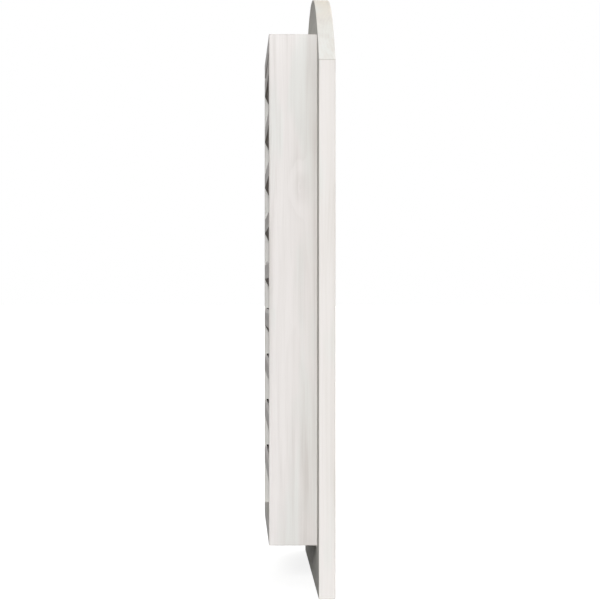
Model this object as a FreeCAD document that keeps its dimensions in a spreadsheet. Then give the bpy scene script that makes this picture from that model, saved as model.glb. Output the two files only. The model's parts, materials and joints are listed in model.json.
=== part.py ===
"""Arch-top gable vent: a flat trim frame on a deep box with a row of sloping slats.

Millimetres, +Z up. The front faces -Y and the back of the trim lies in the wall's plane, y = 0.
The origin is the middle of the bottom rail's bearing face, the strip below the box.
"""
import FreeCAD, Part
import math
import os

import Sketcher

# Driving dimensions: alias, value, meaning
DIMENSIONS = (
    ("box_width", "457.2", "outside width of the box"),
    ("box_height", "812.8", "outside height of the box"),
    ("box_depth", "76.2", "depth of the box behind the trim"),
    ("board_thick", "25.4", "thickness of the box boards"),
    ("trim_face", "88.9", "width of a trim board"),
    ("trim_thick", "26", "thickness of a trim board"),
    ("side_lap", "76.2", "how far the trim reaches past each side of the box"),
    ("flange_lap", "74.5", "how far the trim reaches below the box"),
    ("mitre_drop", "48.3", "how far the outer ends of the mitres lie below the top of the box"),
    ("arch_rise", "130.5", "rise of the arch above the outer ends of the mitres"),
    ("rebate_depth", "6", "depth of the rebate that seats the box in the trim"),
    ("slat_count", "9", "number of slats"),
    ("slat_tilt", "64", "slope of a slat below the level, in degrees"),
    ("slat_thick", "15.5", "thickness of a slat"),
    ("slat_drop", "95", "height of a slat, from its crest to its lower edge"),
    ("crest_setback", "2.9", "distance of a slat's crest from the back of the box"),
    ("crest_rise", "6", "height of the bevel that blunts a slat's crest"),
    ("head_gap", "4.4", "gap between the head and the top slat's crest"),
    ("sill_gap", "7.8", "drain gap between the sill and the lowest slat"),
    ("slot_depth", "8", "depth of the slots that hold the slat ends"),
    ("slot_lead", "6", "level opening of a slot in front of the crest"),
    ("slot_clearance", "0.3", "play of a slat in its slots"),
    ("trim_ease", "1.5", "chamfer that eases the front arrises of the trim"),
    ("box_ease", "0.8", "chamfer that eases the back arrises of the box"),
    ("slat_round", "2", "rounding of a slat's lower edge"),
)

# Heights and radii that several pieces share, as expressions on the sheet
TRIM_FOOT = "(-dims.flange_lap / 2)"
BOX_FOOT = "(dims.flange_lap / 2)"
BOX_TOP = f"({BOX_FOOT} + dims.box_height)"
HALF_BOX = "(dims.box_width / 2)"
HALF_TRIM = f"({HALF_BOX} + dims.side_lap)"
HALF_OPENING = f"({HALF_TRIM} - dims.trim_face)"
HALF_INSIDE = f"({HALF_BOX} - dims.board_thick)"
SPRING = f"({BOX_TOP} - dims.mitre_drop)"
ARCH_RADIUS = f"(({HALF_TRIM} ^ 2 + dims.arch_rise ^ 2) / (2 * dims.arch_rise))"
INNER_RADIUS = f"({ARCH_RADIUS} - dims.trim_face)"
INNER_SPRING = (f"({SPRING} + dims.arch_rise - {ARCH_RADIUS}"
                f" + sqrt({INNER_RADIUS} ^ 2 - {HALF_OPENING} ^ 2))")
INSIDE_HEIGHT = "(dims.box_height - 2 * dims.board_thick)"
SLAT_PITCH = (f"(({INSIDE_HEIGHT} - dims.head_gap - dims.slat_drop - dims.sill_gap)"
              " / (dims.slat_count - 1))")
TOP_CREST = f"({BOX_TOP} - dims.board_thick - dims.head_gap)"
SLOPE_RISE = "(dims.slat_thick / cos(dims.slat_tilt * 1deg))"
SLAT_RUN = (f"(dims.crest_setback + (dims.slat_drop - {SLOPE_RISE})"
            " / tan(dims.slat_tilt * 1deg))")

START, END, CENTRE = range(1, 4)    # point numbers on a sketch line or arc
ORIGIN = (-1, 1)                    # the sketch's own origin
NEAR = 1e-4                         # tolerance for picking edges
FIRST_SQUARE = ((0, 0), (10, 0), (10, 10), (0, 10))    # a rectangle before its sides are held

doc = FreeCAD.newDocument("gable_vent")
sheet = doc.addObject("Spreadsheet::Sheet", "dims")
for row, (alias, value, meaning) in enumerate(DIMENSIONS, 1):
    sheet.set(f"A{row}", alias)
    sheet.set(f"B{row}", value)
    sheet.setAlias(f"B{row}", alias)
    sheet.set(f"C{row}", meaning)
doc.recompute()


def plane_of(body, role):
    """The body's own origin plane with this role."""
    return next(plane for plane in body.Origin.OriginFeatures if plane.Role == role)


def new_body(name):
    body = doc.addObject("PartDesign::Body", name)
    body.Label = name
    return body


def new_sketch(body, name, role, offset=None):
    """A sketch on an origin plane, moved along the plane's normal by an expression."""
    sketch = body.newObject("Sketcher::SketchObject", f"{body.Name}_{name}")
    sketch.AttachmentSupport = [(plane_of(body, role), "")]
    sketch.MapMode = "FlatFace"
    if offset:
        sketch.setExpression(".AttachmentOffset.Base.z", offset)
    return sketch


def drive(sketch, expression, drawn, kind, *references):
    """Add a dimension to the sketch at its drawn size and bind it to the sheet."""
    number = sketch.addConstraint(Sketcher.Constraint(kind, *references, drawn))
    sketch.setExpression(f"Constraints[{number}]", expression)


def place(sketch, point, across=None, up=None):
    """Hold a point at its distances from the sketch's origin."""
    drawn = sketch.getPoint(*point)
    if across:
        drive(sketch, across, drawn.x, "DistanceX", *ORIGIN, *point)
    if up:
        drive(sketch, up, drawn.y, "DistanceY", *ORIGIN, *point)


def span(sketch, first, last, across=None, up=None):
    """Hold the distances from one point of the sketch to another."""
    drawn = sketch.getPoint(*last) - sketch.getPoint(*first)
    if across:
        drive(sketch, across, drawn.x, "DistanceX", *first, *last)
    if up:
        drive(sketch, up, drawn.y, "DistanceY", *first, *last)


def closed_outline(sketch, corners):
    """Straight lines round the corners, each joined to the next."""
    vectors = [FreeCAD.Vector(across, up, 0) for across, up in corners]
    following = vectors[1:] + vectors[:1]
    lines = [sketch.addGeometry(Part.LineSegment(first, last)) for first, last in zip(vectors, following)]
    for line, after in zip(lines, lines[1:] + lines[:1]):
        sketch.addConstraint(Sketcher.Constraint("Coincident", line, END, after, START))
    return lines


def rectangle(sketch, left, foot, right, top):
    """A rectangle whose four sides are held by expressions."""
    bottom, far, upper, near = closed_outline(sketch, FIRST_SQUARE)
    for line in (bottom, upper):
        sketch.addConstraint(Sketcher.Constraint("Horizontal", line))
    for line in (far, near):
        sketch.addConstraint(Sketcher.Constraint("Vertical", line))
    place(sketch, (bottom, START), left, foot)
    place(sketch, (upper, START), right, top)


def pad(body, sketch, length, reverse=False):
    feature = body.newObject("PartDesign::Pad", f"{body.Name}_pad")
    feature.Profile = sketch
    feature.Reversed = reverse
    feature.setExpression("Length", length)
    doc.recompute()
    return feature


def pocket(body, sketch, depth, reverse=False):
    feature = body.newObject("PartDesign::Pocket", f"{body.Name}_pocket")
    feature.Profile = sketch
    feature.Reversed = reverse
    feature.setExpression("Length", depth)
    doc.recompute()
    return feature


def work_edges(body, base, wanted, kind, size):
    """Round or chamfer the edges of the base that the test picks."""
    names = [f"Edge{number}" for number, edge in enumerate(base.Shape.Edges, 1) if wanted(edge.BoundBox)]
    feature = body.newObject(f"PartDesign::{kind}", f"{body.Name}_{kind}")
    feature.Base = (base, names)
    feature.setExpression("Radius" if kind == "Fillet" else "Size", size)
    doc.recompute()
    return feature


def ease_front(body, base, wanted):
    """Chamfer the arrises in the trim's front plane that the test picks."""
    in_front = lambda box: abs(box.YMin + sheet.trim_thick) < NEAR and box.YLength < NEAR
    return work_edges(body, base, lambda box: in_front(box) and wanted(box), "Chamfer", "dims.trim_ease")


def seat_the_box(body):
    """Cut the shallow rebate in the back of a trim piece where the box lets in."""
    sketch = new_sketch(body, "rebate", "XZ_Plane")
    rectangle(sketch, f"-{HALF_BOX}", BOX_FOOT, HALF_BOX, BOX_TOP)
    return pocket(body, sketch, "dims.rebate_depth", reverse=True)


def half_trim():
    """Half the drawn width of the trim."""
    return sheet.box_width / 2 + sheet.side_lap


def mitre_height():
    """The drawn height of the outer ends of the mitres."""
    return sheet.flange_lap / 2 + sheet.box_height - sheet.mitre_drop


def make_stile(name, side):
    """An upright trim board, cut at the top to the mitre of the arch."""
    body = new_body(name)
    sketch = new_sketch(body, "face", "XZ_Plane")
    outer = half_trim() * side
    inner = outer - sheet.trim_face * side
    height = mitre_height()
    corners = ((outer, 0), (outer, height), (inner, height - sheet.trim_face / 2), (inner, 0))
    outer_edge, mitre, inner_edge, foot = closed_outline(sketch, corners)
    sketch.addConstraint(Sketcher.Constraint("Vertical", outer_edge))
    sketch.addConstraint(Sketcher.Constraint("Vertical", inner_edge))
    sketch.addConstraint(Sketcher.Constraint("Horizontal", foot))
    place(sketch, (outer_edge, START), f"{side} * {HALF_TRIM}", TRIM_FOOT)
    place(sketch, (mitre, START), up=SPRING)
    place(sketch, (inner_edge, START), f"{side} * {HALF_OPENING}", INNER_SPRING)
    pad(body, sketch, "dims.trim_thick")
    rebated = seat_the_box(body)
    ease_front(body, rebated, lambda box: box.XLength < NEAR)
    return body


def make_bottom_rail():
    """The level trim board between the feet of the stiles."""
    body = new_body("trim_bottom_rail")
    sketch = new_sketch(body, "face", "XZ_Plane")
    rectangle(sketch, f"-{HALF_OPENING}", TRIM_FOOT, HALF_OPENING, f"{TRIM_FOOT} + dims.trim_face")
    pad(body, sketch, "dims.trim_thick")
    rebated = seat_the_box(body)
    ease_front(body, rebated, lambda box: box.ZLength < NEAR)
    return body


def make_arch_head():
    """The curved trim board, two concentric arcs cut off at the mitres."""
    body = new_body("trim_arch_head")
    sketch = new_sketch(body, "face", "XZ_Plane")
    half_width = half_trim()
    radius = (half_width ** 2 + sheet.arch_rise ** 2) / (2 * sheet.arch_rise)
    inner_radius = radius - sheet.trim_face
    half_opening = half_width - sheet.trim_face
    centre = FreeCAD.Vector(0, mitre_height() + sheet.arch_rise - radius, 0)
    arcs = []
    for size, half_chord in ((radius, half_width), (inner_radius, half_opening)):
        begin = math.acos(half_chord / size)
        circle = Part.Circle(centre, FreeCAD.Vector(0, 0, 1), size)
        arcs.append(sketch.addGeometry(Part.ArcOfCircle(circle, begin, math.pi - begin)))
    outer, inner = arcs
    sketch.addConstraint(Sketcher.Constraint("Vertical", *ORIGIN, outer, CENTRE))
    sketch.addConstraint(Sketcher.Constraint("Coincident", inner, CENTRE, outer, CENTRE))
    for arc in arcs:
        sketch.addConstraint(Sketcher.Constraint("Horizontal", arc, START, arc, END))
    place(sketch, (outer, START), HALF_TRIM, SPRING)
    place(sketch, (inner, START), HALF_OPENING)
    drive(sketch, ARCH_RADIUS, radius, "Radius", outer)
    drive(sketch, INNER_RADIUS, inner_radius, "Radius", inner)
    for end in (START, END):
        outer_point = sketch.getPoint(outer, end)
        inner_point = sketch.getPoint(inner, end)
        mitre = sketch.addGeometry(Part.LineSegment(outer_point, inner_point))
        sketch.addConstraint(Sketcher.Constraint("Coincident", mitre, START, outer, end))
        sketch.addConstraint(Sketcher.Constraint("Coincident", mitre, END, inner, end))
    pad(body, sketch, "dims.trim_thick")
    rebated = seat_the_box(body)
    ease_front(body, rebated, lambda box: box.XLength > half_width)
    return body


def make_cross_board(name, foot, top):
    """The head or the sill of the box, level between the jambs."""
    body = new_body(name)
    sketch = new_sketch(body, "end", "XZ_Plane", "dims.rebate_depth")
    rectangle(sketch, f"-{HALF_INSIDE}", foot, HALF_INSIDE, top)
    pad(body, sketch, "dims.box_depth + dims.rebate_depth", reverse=True)
    return body


def slope_corners():
    """The top slat's section: bevel foot, crest, lower front, lower back and back foot."""
    slope = math.radians(sheet.slat_tilt)
    back = sheet.box_depth
    crest = sheet.flange_lap / 2 + sheet.box_height - sheet.board_thick - sheet.head_gap
    run = sheet.crest_setback + (sheet.slat_drop - sheet.slat_thick / math.cos(slope)) / math.tan(slope)
    lower_back = (back - run, crest - sheet.slat_drop)
    lower_front = (lower_back[0] - sheet.slat_thick * math.sin(slope),
                   lower_back[1] + sheet.slat_thick * math.cos(slope))
    return ((back, crest - sheet.crest_rise), (back - sheet.crest_setback, crest), lower_front, lower_back,
            (back, lower_back[1] + run * math.tan(slope)))


def draw_slope(sketch, upper, end, under, thickness):
    """Make two long lines parallel at the slat's slope, a thickness apart, with a square end."""
    sketch.addConstraint(Sketcher.Constraint("Parallel", upper, under))
    sketch.addConstraint(Sketcher.Constraint("Perpendicular", upper, end))
    drive(sketch, thickness, sheet.slat_thick, "Distance", under, START, upper)
    drive(sketch, "dims.slat_tilt * 1deg", math.radians(sheet.slat_tilt), "Angle", under)


def make_slat(number):
    """A slat: a board cut plumb where it meets the back of the box, with its crest blunted."""
    body = new_body(f"slat_{number}")
    half_length = f"({HALF_INSIDE} + dims.slot_depth - dims.slot_clearance)"
    sketch = new_sketch(body, "section", "YZ_Plane", f"-{half_length}")
    bevel, upper, end, under, back = closed_outline(sketch, slope_corners())
    sketch.addConstraint(Sketcher.Constraint("Vertical", back))
    draw_slope(sketch, upper, end, under, "dims.slat_thick")
    place(sketch, (bevel, START), "dims.box_depth")
    span(sketch, (bevel, END), (bevel, START), across="dims.crest_setback")
    span(sketch, (bevel, START), (bevel, END), up="dims.crest_rise")
    span(sketch, (under, START), (bevel, END), up="dims.slat_drop")
    place(sketch, (bevel, END), up=f"{TOP_CREST} - {number - 1} * {SLAT_PITCH}")
    blank = pad(body, sketch, f"2 * {half_length}")
    lower_edge = blank.Shape.BoundBox.ZMin + sheet.slat_thick / 2
    is_lower = lambda box: box.ZMax < lower_edge and box.XLength > sheet.box_width / 2
    work_edges(body, blank, is_lower, "Fillet", "dims.slat_round")
    return body


def make_jamb(name, side):
    """A side board of the box with a row of sloping slots, open at the back, for the slats."""
    body = new_body(name)
    inner_face = f"{side} * {HALF_INSIDE}"
    outline = new_sketch(body, "side", "YZ_Plane", inner_face)
    rectangle(outline, "-dims.rebate_depth", BOX_FOOT, "dims.box_depth", BOX_TOP)
    board = pad(body, outline, "dims.board_thick", reverse=side < 0)
    outer_x = sheet.box_width / 2
    back_y = sheet.box_depth
    is_back = lambda box: box.YMin > back_y - NEAR and max(abs(box.XMin), abs(box.XMax)) > outer_x - NEAR
    work_edges(body, board, lambda box: is_back(box) and box.XLength < NEAR, "Chamfer", "dims.box_ease")

    slot_sketch = new_sketch(body, "slot", "YZ_Plane", inner_face)
    bevel_foot, crest, lower_front, lower_back, back_foot = slope_corners()
    behind = sheet.box_depth + sheet.crest_setback
    lip = crest[0] - sheet.slot_lead
    lip_foot = crest[1] - sheet.slot_lead * math.tan(math.radians(sheet.slat_tilt))
    corners = ((behind, bevel_foot[1] - sheet.crest_rise), crest, (lip, crest[1]), (lip, lip_foot),
               lower_front, lower_back, (behind, back_foot[1]))
    bevel, top, drop, upper, end, under, open_side = closed_outline(slot_sketch, corners)
    slot_sketch.addConstraint(Sketcher.Constraint("Horizontal", top))
    slot_sketch.addConstraint(Sketcher.Constraint("Vertical", drop))
    slot_sketch.addConstraint(Sketcher.Constraint("Vertical", open_side))
    draw_slope(slot_sketch, upper, end, under, "dims.slat_thick + dims.slot_clearance")
    place(slot_sketch, (top, START), "dims.box_depth - dims.crest_setback",
          f"{TOP_CREST} + dims.slot_clearance")
    span(slot_sketch, (top, START), (bevel, START), "2 * dims.crest_setback", "-2 * dims.crest_rise")
    span(slot_sketch, (drop, START), (top, START), "dims.slot_lead")
    place(slot_sketch, (under, START), f"dims.box_depth - {SLAT_RUN}", f"{TOP_CREST} - dims.slat_drop")
    slot = pocket(body, slot_sketch, "dims.slot_depth", reverse=side > 0)

    row = body.newObject("PartDesign::LinearPattern", f"{name}_slots")
    row.Originals = [slot]
    row.Direction = (slot_sketch, ["V_Axis"])
    row.Reversed = True
    row.setExpression("Length", f"{SLAT_PITCH} * (dims.slat_count - 1)")
    row.setExpression("Occurrences", "dims.slat_count")
    body.Tip = row
    doc.recompute()
    return body


bodies = [
    make_stile("trim_stile_left", -1),
    make_stile("trim_stile_right", 1),
    make_bottom_rail(),
    make_arch_head(),
    make_jamb("box_jamb_left", -1),
    make_jamb("box_jamb_right", 1),
    make_cross_board("box_head", f"{BOX_TOP} - dims.board_thick", BOX_TOP),
    make_cross_board("box_sill", BOX_FOOT, f"{BOX_FOOT} + dims.board_thick"),
]
for slat_number in range(1, int(sheet.slat_count) + 1):
    bodies.append(make_slat(slat_number))
doc.recompute()

for item in doc.Objects:
    if "Invalid" in item.State or "Error" in item.State:
        raise RuntimeError(f"{item.Label} did not recompute: {item.State}")
for body in bodies:
    if body.Shape.isNull() or not body.Shape.isValid() or len(body.Shape.Solids) != 1:
        raise RuntimeError(f"{body.Label} is not one valid solid")

os.makedirs("parts", exist_ok=True)
for body in bodies:
    body.Shape.exportStep(f"parts/{body.Label}.step")
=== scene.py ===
"""Arch-topped gable vent in pale whitewashed softwood, seen from its side as in the photograph."""

import json
import math
from types import SimpleNamespace

import bmesh
import bpy
from mathutils import Euler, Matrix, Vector


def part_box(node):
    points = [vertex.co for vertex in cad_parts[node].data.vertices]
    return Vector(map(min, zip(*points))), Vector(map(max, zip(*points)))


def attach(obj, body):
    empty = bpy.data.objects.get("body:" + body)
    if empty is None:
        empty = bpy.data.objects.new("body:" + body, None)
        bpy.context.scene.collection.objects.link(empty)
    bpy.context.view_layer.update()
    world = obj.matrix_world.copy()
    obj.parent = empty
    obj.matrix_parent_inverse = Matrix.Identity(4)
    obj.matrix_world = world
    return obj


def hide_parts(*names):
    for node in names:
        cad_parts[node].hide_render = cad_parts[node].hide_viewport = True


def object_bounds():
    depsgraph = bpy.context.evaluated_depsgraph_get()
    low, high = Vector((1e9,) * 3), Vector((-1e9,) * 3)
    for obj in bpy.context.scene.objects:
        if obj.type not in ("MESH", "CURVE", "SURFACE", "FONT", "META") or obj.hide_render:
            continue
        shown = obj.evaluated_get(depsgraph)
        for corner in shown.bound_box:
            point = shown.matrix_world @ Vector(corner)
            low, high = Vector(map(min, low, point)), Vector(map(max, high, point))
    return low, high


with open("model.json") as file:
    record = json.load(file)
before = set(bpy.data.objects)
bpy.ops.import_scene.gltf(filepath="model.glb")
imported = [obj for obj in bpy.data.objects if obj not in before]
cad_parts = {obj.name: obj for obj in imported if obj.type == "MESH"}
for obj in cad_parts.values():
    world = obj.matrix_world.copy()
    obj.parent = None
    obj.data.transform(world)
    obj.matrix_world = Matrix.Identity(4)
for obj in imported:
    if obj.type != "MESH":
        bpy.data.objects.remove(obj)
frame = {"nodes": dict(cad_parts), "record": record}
cad_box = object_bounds()

MM = 0.001
WHITE = (1, 1, 1, 1)

# The camera, from the edges of the photograph and where its receding lines meet
PICTURE = 600                                   # the photograph's width and height, in pixels
FOCAL = 2060                                    # focal length, in pixels
VANISHING_POINT = (234.17, 290.31)              # where lines along +X meet, in pixels
CAMERA_PLACE = Vector((-3.5014, 0.1315, 0.44315))
SENSOR = 36.0                                   # sensor width, in millimetres

# Softening of the boards' sharp corners
MERGE = 1e-6                                    # corners closer than this are one
FLAT = math.radians(0.4)                        # faces within this angle make one flat face
SHARP = math.radians(25)                        # edges that turn more than this are softened
ARRIS = 0.45 * MM                               # radius of a softened corner
ARRIS_STEPS = 2


class Wire:
    """An output socket of a material; arithmetic on it adds Math nodes to the same material."""

    def __init__(self, tree, socket=None):
        self.tree = tree
        self.socket = socket

    def node(self, kind, settings=None, inputs=None, output=0):
        """Any node: its settings are set first, then the values or links of its sockets."""
        made = self.tree.nodes.new(kind)
        for name, value in (settings or {}).items():
            setattr(made, name, value)
        for name, value in (inputs or {}).items():
            if isinstance(value, Wire):
                self.tree.links.new(value.socket, made.inputs[name])
            else:
                made.inputs[name].default_value = value
        return Wire(self.tree, made.outputs[output] if made.outputs else None)

    def math(self, operation, *values):
        return self.node("ShaderNodeMath", {"operation": operation}, dict(enumerate(values)))

    def __add__(self, other):
        return self.math("ADD", self, other)

    def __radd__(self, other):
        return self.math("ADD", other, self)

    def __sub__(self, other):
        return self.math("SUBTRACT", self, other)

    def __rsub__(self, other):
        return self.math("SUBTRACT", other, self)

    def __mul__(self, other):
        return self.math("MULTIPLY", self, other)

    def __rmul__(self, other):
        return self.math("MULTIPLY", other, self)

    def __truediv__(self, other):
        return self.math("DIVIDE", self, other)

    def __rtruediv__(self, other):
        return self.math("DIVIDE", other, self)

    def __pow__(self, other):
        return self.math("POWER", self, other)

    def __rpow__(self, other):
        return self.math("POWER", other, self)

    def __abs__(self):
        return self.math("ABSOLUTE", self)

    def split(self):
        """The three parts of a vector."""
        parts = self.node("ShaderNodeSeparateXYZ", inputs={"Vector": self}).socket.node.outputs
        return [Wire(self.tree, part) for part in parts]

    def between(self, low, high):
        """0 below the low value, 1 above the high one, and smooth between them."""
        return self.node("ShaderNodeMapRange", {"interpolation_type": "SMOOTHSTEP"},
                         {"Value": self, "From Min": low, "From Max": high})

    def within(self, low, high):
        """1 from the low value to the high one, and 0 elsewhere."""
        return self.math("GREATER_THAN", self, low) * self.math("LESS_THAN", self, high)

    def mix(self, first, second):
        """The first colour where this is 0, the second where it is 1."""
        return self.node("ShaderNodeMix", {"data_type": "RGBA"}, {0: self, 6: first, 7: second}, output=2)


def srgb(red, green, blue):
    """A display colour, 0 to 255, as a linear colour."""
    def linear(value):
        share = value / 255
        return share / 12.92 if share <= 0.04045 else ((share + 0.055) / 1.055) ** 2.4
    return (linear(red), linear(green), linear(blue), 1.0)


def new_tree(name):
    """An empty material and a Wire to build it with."""
    material = bpy.data.materials.new(name)
    material.use_nodes = True
    material.node_tree.nodes.clear()
    return material, Wire(material.node_tree)


# Whitewash over rosy wood, over grey-green wood, and where the late wood shows through
WASHES = {
    "trim": (srgb(242, 238, 235), srgb(238, 238, 234), srgb(224, 219, 213)),
    "arch": (srgb(228, 227, 223), srgb(227, 228, 224), srgb(219, 215, 209)),
    "box": (srgb(245, 241, 239), srgb(240, 240, 237), srgb(219, 214, 210)),
    "slats": (srgb(245, 241, 238), srgb(241, 241, 237), srgb(222, 216, 210)),
}
BACK_PAINTED_SHADE = srgb(204, 203, 197)                 # painted shade on the back of the trim and the top of the sill
INNER_PAINTED_SHADE = srgb(217, 218, 214)                # a greyer, darker wash on the inner faces of the box's sides, painted shade inside the box
UNDERSIDE_PAINTED_SHADE = srgb(112, 103, 95)                 # painted shade on the slats' undersides
CROWN_TINT_AND_SHADE = srgb(232, 225, 213)                # the creamier wood at the top of the arch, also toned down there as painted shade against the light from above
SLOT_PAINTED_SHADE = srgb(26, 21, 18)                    # near-black painted shade inside the slots
SEAM = srgb(203, 199, 193)                      # the open line of the mitre

# The figure of the wood: noise drawn out along the grain, by scale, detail, stretch and roughness
FIGURE = {
    "sway": (7.0, 2.0, 0.28, 0.5),              # slow wander of the growth rings
    "ripple": (60.0, 2.0, 0.12, 0.5),           # small waves in the rings
    "band": (44.0, 3.0, 0.035, 0.5),            # long bands where the wash sank in
    "line": (150.0, 2.0, 0.02, 0.5),            # fine long lines
    "patch": (21.0, 2.0, 0.22, 0.5),            # rosy and grey-green patches
    "cloud": (11.0, 3.0, 0.5, 0.5),             # the unevenness of the coat
    "fibre": (620.0, 3.0, 0.022, 0.6),
    "pore": (1500.0, 1.0, 0.03, 0.5),
}
BOARD_STEP = 3.7                                # how far apart in the noise two boards are cut

# Where a figure starts to show and where it shows in full
LATE_WOOD_COMES = (0.30, 0.84)                  # in shares of a growth ring
LATE_WOOD_ENDS = (0.88, 1.0)
PATCH_EDGE = (0.48, 0.62)
CROWN_PATCH_EDGE = (0.5, 0.9)
BAND_EDGE = (0.46, 0.66)
STREAK_EDGE = (0.30, 0.70)
LINE_EDGE = (0.50, 0.70)
FIBRE_EDGE = (0.30, 0.62)
CLOUD_EDGE = (0.3, 0.7)

# How much each figure thins the wash
THINNING = {"streak": 0.05, "banded_streak": 0.17, "fibre": 0.16, "band": 0.40, "line": 0.13,
            "knot_rings": 0.10, "knot_core": 0.25}
COAT = (0.60, 0.80)                             # the least thinning, and what an uneven coat adds
RUBBING = (0.15, 0.7)                           # the same for the rubbed corners
TRIM_SHADE_UNEVEN = (0.7, 0.6)                            # the same for the painted shade on the box beside the trim

# The growth rings and the knots
RING_SPACING = 5.5 * MM
PITH_OFFSET = 72 * MM                           # from the middle of a board to the heart of its tree
SWAY_REACH = 30 * MM
RIPPLE_REACH = 4 * MM
KNOT_BEND = 7 * MM
KNOT_CORE = 2.5 * MM
KNOT_REACH = 26 * MM                            # how far a knot bends the grain round it
KNOT_LENGTH = 0.4                               # a knot bends the grain further along the board than across
KNOT_STEPS = (0.618, 0.381)                     # where the next board's knot lies, across and along
KNOT_SPREAD = (0.5, 0.7)                        # the share of a board's face that its knot may lie in
SEEN_KNOT = SimpleNamespace(y=27 * MM, z=607 * MM)    # the faint knot on the side in view

# Marks of making and weather, and where shade is painted
SOFT_EDGE = 0.6                                 # a small mark is full up to this share of its width
SEAM_HALF = 0.7 * MM
STEEPEST_MITRE = 0.3                            # the mitre's cut faces up more than this
FLATTEST_MITRE = 0.97                           # and less than this
RUB_WIDTH = 2.4 * MM                            # how far from a corner the wash is rubbed thin
TRIM_SHADE_REACH = 26 * MM                            # how far the painted shade reaches along the box from the trim
# the strength of the painted shade beside the trim
TRIM_SHADE_SHARE = 0.36
UNSHADED_TOP = 80 * MM                             # the painted shade beside the trim fades out this far below the box's top
CROWN_REACH = 110 * MM                          # the creamier part of the arch, toned down as painted shade, below its top
INNER_SHARE = 0.75
SLOT_PLAY = 0.3 * MM                            # between a slat's end and the floor of its slot
SLOT_MARGIN = 0.4 * MM

# How far a face turns to one side before it takes that side's painted shade, and when it has it in full
TURNED_BACK = (0.4, 0.8)
TURNED_IN = (0.5, 0.9)
TURNED_UP = (0.5, 0.9)
TURNED_DOWN = (0.15, 0.40)
BACK_SHADE_THINNING = 0.8
INNER_THINNING = 0.5
UNDERSIDE_SHADE_THINNING = (0.08, 0.32)

# The matt surface
RELIEF = {"late_wood": 0.35, "fibre": 0.55, "pore": 0.25, "knot_core": 0.2}
RELIEF_STRENGTH = 0.35
RELIEF_HEIGHT = 0.15 * MM
ROUGHNESS = 0.72
FIBRE_ROUGHNESS = 0.16
LATE_WOOD_POLISH = 0.05
SHINE = 0.03


def lay_board(wire, number, node):
    """A board's box, and the place of each of its points in the vent and along its own grain."""
    board = SimpleNamespace(number=number, node=node, jamb=node.startswith("box_jamb"))
    board.low, board.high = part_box(node)
    upright = board.jamb or "stile" in node
    turn = Euler((0, 0 if upright else math.radians(-90), 0))
    middle = turn.to_matrix() @ ((board.low + board.high) / 2)
    board.size = turn.to_matrix() @ (board.high - board.low)
    board.spot = wire.node("ShaderNodeTexCoord", output="Object")
    board.place = wire.node("ShaderNodeMapping", {"vector_type": "POINT"},
                            {"Vector": board.spot, "Location": -middle, "Rotation": turn})
    board.axes = board.place.split()
    first, second, board.along = board.axes
    board.across, board.depth = (second, first) if board.jamb else (first, second)
    return board


def draw_figure(wire, board):
    """Every figure of a board's wood, of that board alone."""
    figure = SimpleNamespace()
    for name, (scale, detail, stretch, roughness) in FIGURE.items():
        drawn = wire.node("ShaderNodeVectorMath", {"operation": "MULTIPLY"},
                          {0: board.place, 1: (1, 1, stretch)})
        noise = wire.node("ShaderNodeTexNoise", {"noise_dimensions": "4D"},
                          {"Vector": drawn, "W": board.number * BOARD_STEP, "Scale": scale,
                           "Detail": detail, "Roughness": roughness})
        setattr(figure, name, noise)
    return figure


def place_knot(board):
    """Where a board's knot lies: across its face and along its length, from the middle of the board."""
    if board.node == "box_jamb_left":
        middle = (board.low + board.high) / 2
        return SEEN_KNOT.y - middle.y, SEEN_KNOT.z - middle.z
    size = board.high - board.low
    across, along = [(board.number * step) % 1 - 0.5 for step in KNOT_STEPS]
    return across * KNOT_SPREAD[0] * min(size.x, size.z), along * KNOT_SPREAD[1] * max(size.x, size.z)


def bend_and_core(board):
    """How much a board's knot bends the grain at each point, and 1 in the knot's dark core."""
    knot_across, knot_along = place_knot(board)
    aside = board.across - knot_across
    onward = (board.along - knot_along) * KNOT_LENGTH
    away = (aside ** 2 + onward ** 2) ** 0.5
    return 1 - away.between(0, KNOT_REACH), 1 - away.between(KNOT_CORE * SOFT_EDGE, KNOT_CORE)


def late_wood_rings(board, figure, bend):
    """1 in the late wood of each growth ring round the heart of the board's tree."""
    radius = (board.across ** 2 + (board.depth + PITH_OFFSET) ** 2) ** 0.5
    sway = (figure.sway - 0.5) * SWAY_REACH
    ripple = (figure.ripple - 0.5) * RIPPLE_REACH
    rings = (radius + sway + ripple + bend * KNOT_BEND) / RING_SPACING
    share = rings.math("FRACT", rings)
    return share.between(*LATE_WOOD_COMES) * (1 - share.between(*LATE_WOOD_ENDS))


def rubbed_corners(board):
    """1 along the outer arrises of a board and 0 on its faces."""
    near = []
    for place, length in zip(board.axes, board.size):
        from_edge = abs(length) / 2 - abs(place)
        near.append(1 - from_edge.between(0, RUB_WIDTH))
    first, second, third = near
    return first * second + second * third + first * third


def shaded_beside_trim(board):
    """Painted shade in the corner: 1 on the box where it meets the trim, fading away from it and towards
    the box's top.
    """
    _, behind, height = board.spot.split()
    top = board.high.z
    return (1 - behind.between(0, TRIM_SHADE_REACH)) * (1 - height.between(top - UNSHADED_TOP, top))


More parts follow.
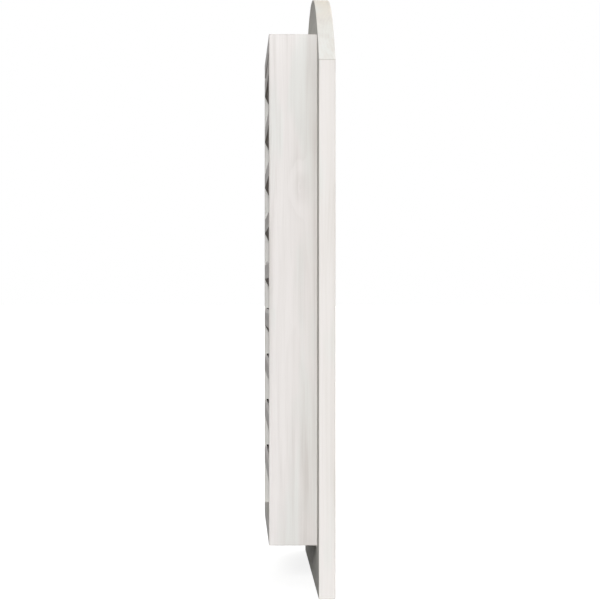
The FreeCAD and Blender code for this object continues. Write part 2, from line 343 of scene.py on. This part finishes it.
def wash_thinness(board, figure, late_wood, bend, core):
    """0 where the wash covers the wood, more where the wood shows through, and more in the painted shade on
    the box beside the trim.
    """
    streak = THINNING["streak"] + figure.band.between(*STREAK_EDGE) * THINNING["banded_streak"]
    show = late_wood * streak + (1 - figure.fibre.between(*FIBRE_EDGE)) * THINNING["fibre"]
    show = show + figure.band.between(*BAND_EDGE) * THINNING["band"]
    show = show + figure.line.between(*LINE_EDGE) * THINNING["line"]
    thinness_and_shade = show * (COAT[0] + figure.cloud.between(*CLOUD_EDGE) * COAT[1])
    thinness_and_shade = thinness_and_shade + bend * late_wood * THINNING["knot_rings"] + core * THINNING["knot_core"]
    thinness_and_shade = thinness_and_shade + rubbed_corners(board) * (RUBBING[0] + figure.cloud * RUBBING[1])
    # painted shade in the corner where the box meets the trim
    if board.node.startswith("box"):
        uneven = TRIM_SHADE_UNEVEN[0] + figure.cloud * TRIM_SHADE_UNEVEN[1]
        thinness_and_shade = thinness_and_shade + shaded_beside_trim(board) * TRIM_SHADE_SHARE * uneven
    return thinness_and_shade


def find_mitre():
    """A point on the right-hand mitre between stile and arch, and the way the cut faces."""
    faces = frame["nodes"]["trim_stile_right"].data.polygons
    cuts = [face for face in faces if STEEPEST_MITRE < face.normal.z < FLATTEST_MITRE]
    cut = max(cuts, key=lambda face: face.area)
    return cut.center.copy(), cut.normal.copy()


def mitre_seam(board):
    """1 on the fine line where the stile and the arch meet, on both sides of the vent."""
    point, facing = find_mitre()
    side, _, up = board.spot.split()
    from_cut = (abs(side) - point.x) * facing.x + (up - point.z) * facing.z
    return 1 - abs(from_cut).between(SEAM_HALF * SOFT_EDGE, SEAM_HALF)


def inside_slots(board):
    """1 in the slots of a jamb, deeper than its inner face, where near-black shade is painted."""
    side, back, up = board.spot.split()
    inner_face = min(abs(board.low.x), abs(board.high.x))
    slot_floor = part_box("slat_1")[1].x + SLOT_PLAY
    deep = abs(side).within(inner_face + SLOT_MARGIN, slot_floor + SLOT_MARGIN)
    deep = deep * back.within(board.low.y + SLOT_MARGIN, board.high.y - SLOT_MARGIN)
    return deep * up.within(board.low.z + SLOT_MARGIN, board.high.z - SLOT_MARGIN)


def wash_colour(wire, board, slot, figure, thinness_and_shade):
    """The colour of a washed board, with painted shade on the faces that turn back, inwards and down, on
    the sill's top and in the slots, and the mitre's seam.
    """
    warm, cool, thin = WASHES[slot]
    tint = figure.patch.between(*PATCH_EDGE).mix(warm, cool)
    # creamier tone at the top of the arch, darkened there as painted shade against the light from above
    if slot == "arch":
        crown = board.spot.split()[2].between(board.high.z - CROWN_REACH, board.high.z)
        crown = crown * (1 - figure.patch.between(*CROWN_PATCH_EDGE))
        tint = crown.mix(tint, CROWN_TINT_AND_SHADE)
    washed = thinness_and_shade.mix(tint, thin)
    to_right, to_back, to_top = wire.node("ShaderNodeNewGeometry", output="Normal").split()
    if slot in ("trim", "arch"):
        # painted shade on the faces of the trim that turn back
        washed = to_back.between(*TURNED_BACK).mix(washed, (thinness_and_shade * BACK_SHADE_THINNING).mix(BACK_PAINTED_SHADE, thin))
        washed = mitre_seam(board).mix(washed, SEAM)
    # painted shade on the top of the sill
    if board.node == "box_sill":
        washed = to_top.between(*TURNED_UP).mix(washed, (thinness_and_shade * BACK_SHADE_THINNING).mix(BACK_PAINTED_SHADE, thin))
    # painted shade on the slats' undersides
    if slot == "slats":
        underside_shade = UNDERSIDE_SHADE_THINNING[0] + thinness_and_shade * UNDERSIDE_SHADE_THINNING[1]
        washed = (0 - to_top).between(*TURNED_DOWN).mix(washed, underside_shade.mix(UNDERSIDE_PAINTED_SHADE, thin))
    if board.jamb:
        # painted shade on the inner faces of the box's sides
        to_inside = to_right if board.high.x < 0 else 0 - to_right
        inner = (thinness_and_shade * INNER_THINNING).mix(INNER_PAINTED_SHADE, thin)
        washed = (to_inside.between(*TURNED_IN) * INNER_SHARE).mix(washed, inner)
        # near-black painted shade inside the slots
        washed = inside_slots(board).mix(washed, SLOT_PAINTED_SHADE)
    return washed


def whitewashed_wood(number, node, slot):
    """Pale washed softwood with its grain along the board, cut from its own place in its own tree."""
    material, wire = new_tree(f"washed_{node}")
    board = lay_board(wire, number, node)
    figure = draw_figure(wire, board)
    bend, core = bend_and_core(board)
    late_wood = late_wood_rings(board, figure, bend)
    thinness_and_shade = wash_thinness(board, figure, late_wood, bend, core)
    relief = late_wood * RELIEF["late_wood"] + figure.fibre * RELIEF["fibre"]
    relief = relief + figure.pore * RELIEF["pore"] - core * RELIEF["knot_core"]
    bump = wire.node("ShaderNodeBump", None,
                     {"Strength": RELIEF_STRENGTH, "Distance": RELIEF_HEIGHT, "Height": relief})
    rough = ROUGHNESS + figure.fibre * FIBRE_ROUGHNESS - late_wood * LATE_WOOD_POLISH
    shader = wire.node("ShaderNodeBsdfPrincipled", None,
                       {"Base Color": wash_colour(wire, board, slot, figure, thinness_and_shade),
                        "Roughness": rough, "Normal": bump, "Specular IOR Level": SHINE})
    wire.node("ShaderNodeOutputMaterial", None, {"Surface": shader})
    return material


def softened(node):
    """A copy of a CAD board whose sharp corners are slightly rounded, as sanding leaves them."""
    mesh = frame["nodes"][node].data.copy()
    mesh.name = f"{node}_sanded"
    work = bmesh.new()
    work.from_mesh(mesh)
    bmesh.ops.remove_doubles(work, verts=work.verts, dist=MERGE)
    bmesh.ops.dissolve_limit(work, angle_limit=FLAT, verts=work.verts, edges=work.edges)
    joined = [edge for edge in work.edges if len(edge.link_faces) == 2]
    corners = [edge for edge in joined if edge.calc_face_angle() > SHARP]
    bmesh.ops.bevel(work, geom=corners, offset=ARRIS, offset_type="OFFSET", segments=ARRIS_STEPS,
                    profile=0.5, affect="EDGES", material=-1, clamp_overlap=True)
    for face in work.faces:
        face.smooth = True
    work.to_mesh(mesh)
    work.free()
    mesh.set_sharp_from_angle(angle=SHARP)
    piece = bpy.data.objects.new(f"{node}_sanded", mesh)
    bpy.context.scene.collection.objects.link(piece)
    shading = piece.modifiers.new("even_shading", "WEIGHTED_NORMAL")
    shading.keep_sharp = True
    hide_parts(node)
    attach(piece, "root")
    return piece


def dress_boards():
    """Every board of the vent, sanded and washed, with its grain along its length."""
    for number, subpart in enumerate(frame["record"]["subparts"]):
        node = subpart["node"]
        slot = subpart["material_slot"]
        piece = softened(node)
        wash = "arch" if node == "trim_arch_head" else slot
        piece.data.materials.clear()
        piece.data.materials.append(whitewashed_wood(number, node, wash))


# Studio levels: at 1 a facing surface shows its colour as written
AMBIENT = 0.32
BACKDROP = 1.0
FLOOR_GLOW = 0.82
FLOOR_DIM = srgb(80, 79, 78)
FLOOR_PALE = srgb(180, 180, 179)
FLOOR_HALF = 60                                 # half the floor's width, in metres

# The studio's lights: the way each one shines, its level, and its width in degrees
LIGHTS = {
    "key": ((0.94, -0.15, -0.31), 0.58, 11),
    "side_wash": ((0.93, 0.36, -0.06), 0.43, 110),
    "front_fill": ((-0.30, 0.94, -0.15), 0.66, 90),
    "far_fill": ((-0.91, 0.36, -0.20), 0.50, 36),
}


def seen_directly(wire):
    """1 where the eye looks, straight, in a reflection or through something, and 0 for falling light."""
    path = wire.node("ShaderNodeLightPath").socket.node.outputs
    rays = [Wire(wire.tree, path[f"Is {kind} Ray"]) for kind in ("Camera", "Glossy", "Transmission")]
    camera, glossy, through = rays
    return wire.math("MAXIMUM", wire.math("MAXIMUM", camera, glossy), through)


def add_floor():
    """A wide pale floor under the vent's foot, white to the camera and dim to the light it throws back."""
    material, wire = new_tree("pale_floor")
    dim = wire.node("ShaderNodeBsdfDiffuse", None, {"Color": FLOOR_DIM})
    matt = wire.node("ShaderNodeBsdfDiffuse", None, {"Color": FLOOR_PALE})
    glow = wire.node("ShaderNodeEmission", None, {"Color": WHITE, "Strength": FLOOR_GLOW})
    bright = wire.node("ShaderNodeAddShader", None, {0: matt, 1: glow})
    floor_shader = wire.node("ShaderNodeMixShader", None, {0: seen_directly(wire), 1: dim, 2: bright})
    wire.node("ShaderNodeOutputMaterial", None, {"Surface": floor_shader})
    work = bmesh.new()
    bmesh.ops.create_grid(work, x_segments=1, y_segments=1, size=FLOOR_HALF)
    bmesh.ops.translate(work, verts=work.verts, vec=(0, 0, cad_box[0].z))
    mesh = bpy.data.meshes.new("floor")
    work.to_mesh(mesh)
    work.free()
    floor = bpy.data.objects.new("floor", mesh)
    bpy.context.scene.collection.objects.link(floor)
    mesh.materials.append(material)


def add_world():
    """Soft light from all round, and white where the camera looks past the vent."""
    world = bpy.data.worlds.new("studio")
    bpy.context.scene.world = world
    world.use_nodes = True
    world.node_tree.nodes.clear()
    wire = Wire(world.node_tree)
    soft = wire.node("ShaderNodeBackground", None, {"Color": WHITE, "Strength": AMBIENT})
    white = wire.node("ShaderNodeBackground", None, {"Color": WHITE, "Strength": BACKDROP})
    both = wire.node("ShaderNodeMixShader", None, {0: seen_directly(wire), 1: soft, 2: white})
    wire.node("ShaderNodeOutputWorld", None, {"Surface": both})


def add_lights():
    """The wide soft lights; at level 1 each shows the colour of a surface that faces it as written."""
    for name, (travel, level, width) in LIGHTS.items():
        lamp = bpy.data.lights.new(name, "SUN")
        lamp.energy = level * math.pi
        lamp.angle = math.radians(width)
        light = bpy.data.objects.new(name, lamp)
        light.rotation_euler = Vector(travel).to_track_quat("-Z", "Y").to_euler()
        bpy.context.scene.collection.objects.link(light)


def add_camera():
    """The photograph's camera: level with the vent's middle, looking at its side from a little behind."""
    data = bpy.data.cameras.new("photo_camera")
    data.lens = FOCAL * SENSOR / PICTURE
    data.sensor_width = SENSOR
    camera = bpy.data.objects.new("photo_camera", data)
    camera.location = CAMERA_PLACE
    aim = Vector((FOCAL, VANISHING_POINT[0] - PICTURE / 2, VANISHING_POINT[1] - PICTURE / 2))
    camera.rotation_euler = aim.to_track_quat("-Z", "Y").to_euler()
    bpy.context.scene.collection.objects.link(camera)
    bpy.context.scene.camera = camera


dress_boards()
add_floor()
add_world()
add_lights()
add_camera()
bpy.context.scene.view_settings.view_transform = "Standard"
